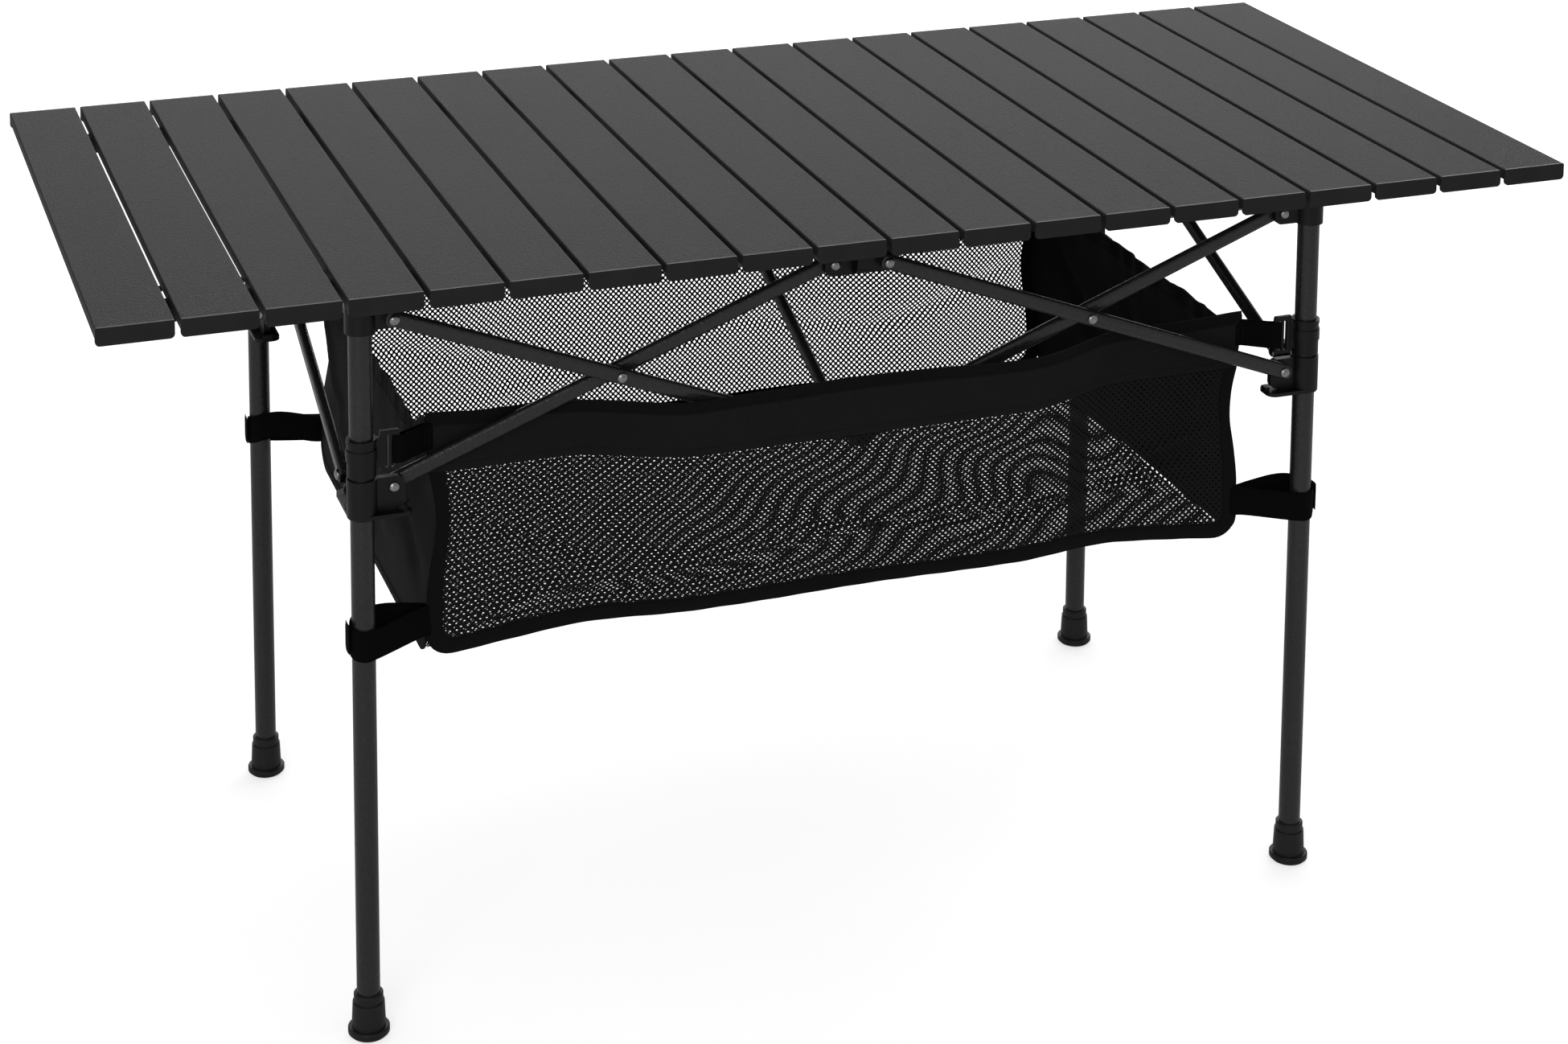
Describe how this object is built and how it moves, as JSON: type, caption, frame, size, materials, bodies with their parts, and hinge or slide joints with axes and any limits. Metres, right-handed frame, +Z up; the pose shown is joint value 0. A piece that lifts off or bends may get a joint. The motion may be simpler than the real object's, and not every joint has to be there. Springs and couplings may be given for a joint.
{
  "type": "camp kitchen table",
  "caption": "Folding camp table with a roll-up slatted top, an accordion frame of crossed bars with sliding hubs, tube legs with feet, and a mesh storage basket.",
  "frame": {"origin": "on the floor, under the middle of the table top", "axes": "+X along the length, +Y towards the back, +Z up"},
  "size_m": [1.196, 0.541, 0.608],
  "materials": {
    "textured_powder_coat": "dark grey fine leather-textured powder coat on aluminium",
    "hammered_paint": "dark hammered gloss paint on tube",
    "moulded_black_plastic": "smooth satin moulded plastic",
    "black_polyester": "woven polyester, open mesh and webbing"
  },
  "bodies": {
    "leg_front_left": {"leg_front_left": "hammered_paint", "foot_front_left": "moulded_black_plastic", "top_hub_front_left": "moulded_black_plastic", "basket_clip_front_left": "moulded_black_plastic", "storage_basket": "black_polyester"},
    "slider_front_left": {"slider_front_left": "moulded_black_plastic"},
    "leg_front_right": {"leg_front_right": "hammered_paint", "foot_front_right": "moulded_black_plastic", "top_hub_front_right": "moulded_black_plastic", "basket_clip_front_right": "moulded_black_plastic"},
    "slider_front_right": {"slider_front_right": "moulded_black_plastic"},
    "leg_back_left": {"leg_back_left": "hammered_paint", "foot_back_left": "moulded_black_plastic", "top_hub_back_left": "moulded_black_plastic", "basket_clip_back_left": "moulded_black_plastic"},
    "slider_back_left": {"slider_back_left": "moulded_black_plastic"},
    "leg_back_right": {"leg_back_right": "hammered_paint", "foot_back_right": "moulded_black_plastic", "top_hub_back_right": "moulded_black_plastic", "basket_clip_back_right": "moulded_black_plastic"},
    "slider_back_right": {"slider_back_right": "moulded_black_plastic"},
    "centre_hub_upper_front": {"centre_hub_upper_front": "moulded_black_plastic"},
    "centre_hub_lower_front": {"centre_hub_lower_front": "moulded_black_plastic"},
    "bar_front_left_outer": {"bar_front_left_outer": "hammered_paint"},
    "bar_front_left_inner": {"bar_front_left_inner": "hammered_paint"},
    "bar_front_right_outer": {"bar_front_right_outer": "hammered_paint"},
    "bar_front_right_inner": {"bar_front_right_inner": "hammered_paint"},
    "centre_hub_upper_back": {"centre_hub_upper_back": "moulded_black_plastic"},
    "centre_hub_lower_back": {"centre_hub_lower_back": "moulded_black_plastic"},
    "bar_back_left_outer": {"bar_back_left_outer": "hammered_paint"},
    "bar_back_left_inner": {"bar_back_left_inner": "hammered_paint"},
    "bar_back_right_outer": {"bar_back_right_outer": "hammered_paint"},
    "bar_back_right_inner": {"bar_back_right_inner": "hammered_paint"},
    "bar_left_end_falling_back": {"bar_left_end_falling_back": "hammered_paint"},
    "bar_left_end_falling_front": {"bar_left_end_falling_front": "hammered_paint"},
    "bar_centre_end_falling_back": {"bar_centre_end_falling_back": "hammered_paint"},
    "bar_centre_end_falling_front": {"bar_centre_end_falling_front": "hammered_paint"},
    "bar_right_end_falling_back": {"bar_right_end_falling_back": "hammered_paint"},
    "bar_right_end_falling_front": {"bar_right_end_falling_front": "hammered_paint"},
    "tabletop": {"slat_01": "textured_powder_coat", "support_rails": "textured_powder_coat"},
    "slat_02": {"slat_02": "textured_powder_coat"},
    "slat_03": {"slat_03": "textured_powder_coat"},
    "slat_04": {"slat_04": "textured_powder_coat"},
    "slat_05": {"slat_05": "textured_powder_coat"},
    "slat_06": {"slat_06": "textured_powder_coat"},
    "slat_07": {"slat_07": "textured_powder_coat"},
    "slat_08": {"slat_08": "textured_powder_coat"},
    "slat_09": {"slat_09": "textured_powder_coat"},
    "slat_10": {"slat_10": "textured_powder_coat"},
    "slat_11": {"slat_11": "textured_powder_coat"},
    "slat_12": {"slat_12": "textured_powder_coat"},
    "slat_13": {"slat_13": "textured_powder_coat"},
    "slat_14": {"slat_14": "textured_powder_coat"},
    "slat_15": {"slat_15": "textured_powder_coat"},
    "slat_16": {"slat_16": "textured_powder_coat"},
    "slat_17": {"slat_17": "textured_powder_coat"},
    "slat_18": {"slat_18": "textured_powder_coat"},
    "slat_19": {"slat_19": "textured_powder_coat"},
    "slat_20": {"slat_20": "textured_powder_coat"}
  },
  "joints": [
    {"name": "frame_fold", "type": "hinge", "parent": "leg_front_left", "child": "bar_front_left_outer", "pos_m": [-0.373, -0.2165, 0.57], "axis": [0, 1, 0], "range_deg": [0, 60], "deforming": ["storage_basket"]},
    {"name": "front_left_cross_pivot", "type": "hinge", "parent": "bar_front_left_outer", "child": "bar_front_left_inner", "pos_m": [-0.197, -0.2095, 0.5035], "axis": [0, 1, 0], "range_deg": [-120, 0]},
    {"name": "front_left_slider_travel", "type": "hinge", "parent": "bar_front_left_inner", "child": "slider_front_left", "pos_m": [-0.373, -0.2025, 0.437], "axis": [0, 1, 0], "range_deg": [0, 60]},
    {"name": "front_upper_hub_pivot", "type": "hinge", "parent": "bar_front_left_inner", "child": "centre_hub_upper_front", "pos_m": [-0.021, -0.2025, 0.57], "axis": [0, 1, 0], "range_deg": [0, 60]},
    {"name": "front_lower_hub_pivot", "type": "hinge", "parent": "bar_front_left_outer", "child": "centre_hub_lower_front", "pos_m": [-0.021, -0.2165, 0.437], "axis": [0, 1, 0], "range_deg": [-60, 0]},
    {"name": "front_right_bar_pivot", "type": "hinge", "parent": "centre_hub_upper_front", "child": "bar_front_right_outer", "pos_m": [0.021, -0.2165, 0.57], "axis": [0, 1, 0], "range_deg": [0, 60]},
    {"name": "front_right_cross_pivot", "type": "hinge", "parent": "bar_front_right_outer", "child": "bar_front_right_inner", "pos_m": [0.197, -0.2095, 0.5035], "axis": [0, 1, 0], "range_deg": [-120, 0]},
    {"name": "front_right_slider_travel", "type": "hinge", "parent": "bar_front_right_outer", "child": "slider_front_right", "pos_m": [0.373, -0.2165, 0.437], "axis": [0, 1, 0], "range_deg": [-60, 0]},
    {"name": "front_right_leg_pivot", "type": "hinge", "parent": "bar_front_right_inner", "child": "leg_front_right", "pos_m": [0.373, -0.2025, 0.57], "axis": [0, 1, 0], "range_deg": [0, 60]},
    {"name": "left_cross_bar_pivot", "type": "hinge", "parent": "leg_front_left", "child": "bar_left_end_falling_back", "pos_m": [-0.39, -0.176, 0.57], "axis": [-1, 0, 0], "range_deg": [0, 60]},
    {"name": "left_cross_pivot", "type": "hinge", "parent": "bar_left_end_falling_back", "child": "bar_left_end_falling_front", "pos_m": [-0.397, 0, 0.5035], "axis": [-1, 0, 0], "range_deg": [-120, 0]},
    {"name": "left_back_leg_lower_pivot", "type": "hinge", "parent": "bar_left_end_falling_back", "child": "slider_back_left", "pos_m": [-0.39, 0.176, 0.437], "axis": [-1, 0, 0], "range_deg": [-60, 0]},
    {"name": "left_back_leg_upper_pivot", "type": "hinge", "parent": "bar_left_end_falling_front", "child": "leg_back_left", "pos_m": [-0.404, 0.176, 0.57], "axis": [-1, 0, 0], "range_deg": [0, 60]},
    {"name": "centre_cross_bar_pivot", "type": "hinge", "parent": "centre_hub_upper_front", "child": "bar_centre_end_falling_back", "pos_m": [0.007, -0.176, 0.57], "axis": [-1, 0, 0], "range_deg": [0, 60]},
    {"name": "centre_cross_pivot", "type": "hinge", "parent": "bar_centre_end_falling_back", "child": "bar_centre_end_falling_front", "pos_m": [0, 0, 0.5035], "axis": [-1, 0, 0], "range_deg": [-120, 0]},
    {"name": "centre_back_hub_lower_pivot", "type": "hinge", "parent": "bar_centre_end_falling_back", "child": "centre_hub_lower_back", "pos_m": [0.007, 0.176, 0.437], "axis": [-1, 0, 0], "range_deg": [-60, 0]},
    {"name": "centre_back_hub_upper_pivot", "type": "hinge", "parent": "bar_centre_end_falling_front", "child": "centre_hub_upper_back", "pos_m": [-0.007, 0.176, 0.57], "axis": [-1, 0, 0], "range_deg": [0, 60]},
    {"name": "right_cross_bar_pivot", "type": "hinge", "parent": "leg_front_right", "child": "bar_right_end_falling_back", "pos_m": [0.404, -0.176, 0.57], "axis": [-1, 0, 0], "range_deg": [0, 60]},
    {"name": "right_cross_pivot", "type": "hinge", "parent": "bar_right_end_falling_back", "child": "bar_right_end_falling_front", "pos_m": [0.397, 0, 0.5035], "axis": [-1, 0, 0], "range_deg": [-120, 0]},
    {"name": "right_back_leg_lower_pivot", "type": "hinge", "parent": "bar_right_end_falling_back", "child": "slider_back_right", "pos_m": [0.404, 0.176, 0.437], "axis": [-1, 0, 0], "range_deg": [-60, 0]},
    {"name": "right_back_leg_upper_pivot", "type": "hinge", "parent": "bar_right_end_falling_front", "child": "leg_back_right", "pos_m": [0.39, 0.176, 0.57], "axis": [-1, 0, 0], "range_deg": [0, 60]},
    {"name": "back_left_bar_pivot", "type": "hinge", "parent": "leg_back_left", "child": "bar_back_left_outer", "pos_m": [-0.373, 0.2165, 0.57], "axis": [0, 1, 0], "range_deg": [0, 60]},
    {"name": "back_left_cross_pivot", "type": "hinge", "parent": "bar_back_left_outer", "child": "bar_back_left_inner", "pos_m": [-0.197, 0.2095, 0.5035], "axis": [0, 1, 0], "range_deg": [-120, 0]},
    {"name": "back_right_bar_pivot", "type": "hinge", "parent": "centre_hub_upper_back", "child": "bar_back_right_outer", "pos_m": [0.021, 0.2165, 0.57], "axis": [0, 1, 0], "range_deg": [0, 60]},
    {"name": "back_right_cross_pivot", "type": "hinge", "parent": "bar_back_right_outer", "child": "bar_back_right_inner", "pos_m": [0.197, 0.2095, 0.5035], "axis": [0, 1, 0], "range_deg": [-120, 0]},
    {"name": "top_lift_off", "type": "slide", "parent": "leg_front_left", "child": "tabletop", "axis": [0, 0, 1], "range_m": [0, 0.12]},
    {"name": "mat_roll", "type": "hinge", "parent": "tabletop", "child": "slat_02", "pos_m": [-0.54, 0, 0.602], "axis": [0, -1, 0], "range_deg": [0, 16]},
    {"name": "slat_hinge_02", "type": "hinge", "parent": "slat_02", "child": "slat_03", "pos_m": [-0.48, 0, 0.602], "axis": [0, -1, 0], "range_deg": [0, 16.67]},
    {"name": "slat_hinge_03", "type": "hinge", "parent": "slat_03", "child": "slat_04", "pos_m": [-0.42, 0, 0.602], "axis": [0, -1, 0], "range_deg": [0, 17.33]},
    {"name": "slat_hinge_04", "type": "hinge", "parent": "slat_04", "child": "slat_05", "pos_m": [-0.36, 0, 0.602], "axis": [0, -1, 0], "range_deg": [0, 18]},
    {"name": "slat_hinge_05", "type": "hinge", "parent": "slat_05", "child": "slat_06", "pos_m": [-0.3, 0, 0.602], "axis": [0, -1, 0], "range_deg": [0, 18.67]},
    {"name": "slat_hinge_06", "type": "hinge", "parent": "slat_06", "child": "slat_07", "pos_m": [-0.24, 0, 0.602], "axis": [0, -1, 0], "range_deg": [0, 19.33]},
    {"name": "slat_hinge_07", "type": "hinge", "parent": "slat_07", "child": "slat_08", "pos_m": [-0.18, 0, 0.602], "axis": [0, -1, 0], "range_deg": [0, 20]},
    {"name": "slat_hinge_08", "type": "hinge", "parent": "slat_08", "child": "slat_09", "pos_m": [-0.12, 0, 0.602], "axis": [0, -1, 0], "range_deg": [0, 20.67]},
    {"name": "slat_hinge_09", "type": "hinge", "parent": "slat_09", "child": "slat_10", "pos_m": [-0.06, 0, 0.602], "axis": [0, -1, 0], "range_deg": [0, 21.33]},
    {"name": "slat_hinge_10", "type": "hinge", "parent": "slat_10", "child": "slat_11", "pos_m": [0, 0, 0.602], "axis": [0, -1, 0], "range_deg": [0, 22]},
    {"name": "slat_hinge_11", "type": "hinge", "parent": "slat_11", "child": "slat_12", "pos_m": [0.06, 0, 0.602], "axis": [0, -1, 0], "range_deg": [0, 22.67]},
    {"name": "slat_hinge_12", "type": "hinge", "parent": "slat_12", "child": "slat_13", "pos_m": [0.12, 0, 0.602], "axis": [0, -1, 0], "range_deg": [0, 23.33]},
    {"name": "slat_hinge_13", "type": "hinge", "parent": "slat_13", "child": "slat_14", "pos_m": [0.18, 0, 0.602], "axis": [0, -1, 0], "range_deg": [0, 24]},
    {"name": "slat_hinge_14", "type": "hinge", "parent": "slat_14", "child": "slat_15", "pos_m": [0.24, 0, 0.602], "axis": [0, -1, 0], "range_deg": [0, 24.67]},
    {"name": "slat_hinge_15", "type": "hinge", "parent": "slat_15", "child": "slat_16", "pos_m": [0.3, 0, 0.602], "axis": [0, -1, 0], "range_deg": [0, 25.33]},
    {"name": "slat_hinge_16", "type": "hinge", "parent": "slat_16", "child": "slat_17", "pos_m": [0.36, 0, 0.602], "axis": [0, -1, 0], "range_deg": [0, 26]},
    {"name": "slat_hinge_17", "type": "hinge", "parent": "slat_17", "child": "slat_18", "pos_m": [0.42, 0, 0.602], "axis": [0, -1, 0], "range_deg": [0, 26.67]},
    {"name": "slat_hinge_18", "type": "hinge", "parent": "slat_18", "child": "slat_19", "pos_m": [0.48, 0, 0.602], "axis": [0, -1, 0], "range_deg": [0, 27.33]},
    {"name": "slat_hinge_19", "type": "hinge", "parent": "slat_19", "child": "slat_20", "pos_m": [0.54, 0, 0.602], "axis": [0, -1, 0], "range_deg": [0, 28]}
  ],
  "couplings": [
    {"joint": "front_left_cross_pivot", "follows": "frame_fold", "ratio": -2},
    {"joint": "front_left_slider_travel", "follows": "frame_fold", "ratio": 1},
    {"joint": "front_upper_hub_pivot", "follows": "frame_fold", "ratio": 1},
    {"joint": "front_lower_hub_pivot", "follows": "frame_fold", "ratio": -1},
    {"joint": "front_right_bar_pivot", "follows": "frame_fold", "ratio": 1},
    {"joint": "front_right_cross_pivot", "follows": "frame_fold", "ratio": -2},
    {"joint": "front_right_slider_travel", "follows": "frame_fold", "ratio": -1},
    {"joint": "front_right_leg_pivot", "follows": "frame_fold", "ratio": 1},
    {"joint": "left_cross_bar_pivot", "follows": "frame_fold", "ratio": 1},
    {"joint": "left_cross_pivot", "follows": "frame_fold", "ratio": -2},
    {"joint": "left_back_leg_lower_pivot", "follows": "frame_fold", "ratio": -1},
    {"joint": "left_back_leg_upper_pivot", "follows": "frame_fold", "ratio": 1},
    {"joint": "centre_cross_bar_pivot", "follows": "frame_fold", "ratio": 1},
    {"joint": "centre_cross_pivot", "follows": "frame_fold", "ratio": -2},
    {"joint": "centre_back_hub_lower_pivot", "follows": "frame_fold", "ratio": -1},
    {"joint": "centre_back_hub_upper_pivot", "follows": "frame_fold", "ratio": 1},
    {"joint": "right_cross_bar_pivot", "follows": "frame_fold", "ratio": 1},
    {"joint": "right_cross_pivot", "follows": "frame_fold", "ratio": -2},
    {"joint": "right_back_leg_lower_pivot", "follows": "frame_fold", "ratio": -1},
    {"joint": "right_back_leg_upper_pivot", "follows": "frame_fold", "ratio": 1},
    {"joint": "back_left_bar_pivot", "follows": "frame_fold", "ratio": 1},
    {"joint": "back_left_cross_pivot", "follows": "frame_fold", "ratio": -2},
    {"joint": "back_right_bar_pivot", "follows": "frame_fold", "ratio": 1},
    {"joint": "back_right_cross_pivot", "follows": "frame_fold", "ratio": -2},
    {"joint": "slat_hinge_02", "follows": "mat_roll", "ratio": 1.0417},
    {"joint": "slat_hinge_03", "follows": "mat_roll", "ratio": 1.0833},
    {"joint": "slat_hinge_04", "follows": "mat_roll", "ratio": 1.125},
    {"joint": "slat_hinge_05", "follows": "mat_roll", "ratio": 1.1667},
    {"joint": "slat_hinge_06", "follows": "mat_roll", "ratio": 1.2083},
    {"joint": "slat_hinge_07", "follows": "mat_roll", "ratio": 1.25},
    {"joint": "slat_hinge_08", "follows": "mat_roll", "ratio": 1.2917},
    {"joint": "slat_hinge_09", "follows": "mat_roll", "ratio": 1.3333},
    {"joint": "slat_hinge_10", "follows": "mat_roll", "ratio": 1.375},
    {"joint": "slat_hinge_11", "follows": "mat_roll", "ratio": 1.4167},
    {"joint": "slat_hinge_12", "follows": "mat_roll", "ratio": 1.4583},
    {"joint": "slat_hinge_13", "follows": "mat_roll", "ratio": 1.5},
    {"joint": "slat_hinge_14", "follows": "mat_roll", "ratio": 1.5417},
    {"joint": "slat_hinge_15", "follows": "mat_roll", "ratio": 1.5833},
    {"joint": "slat_hinge_16", "follows": "mat_roll", "ratio": 1.625},
    {"joint": "slat_hinge_17", "follows": "mat_roll", "ratio": 1.6667},
    {"joint": "slat_hinge_18", "follows": "mat_roll", "ratio": 1.7083},
    {"joint": "slat_hinge_19", "follows": "mat_roll", "ratio": 1.75}
  ]
}
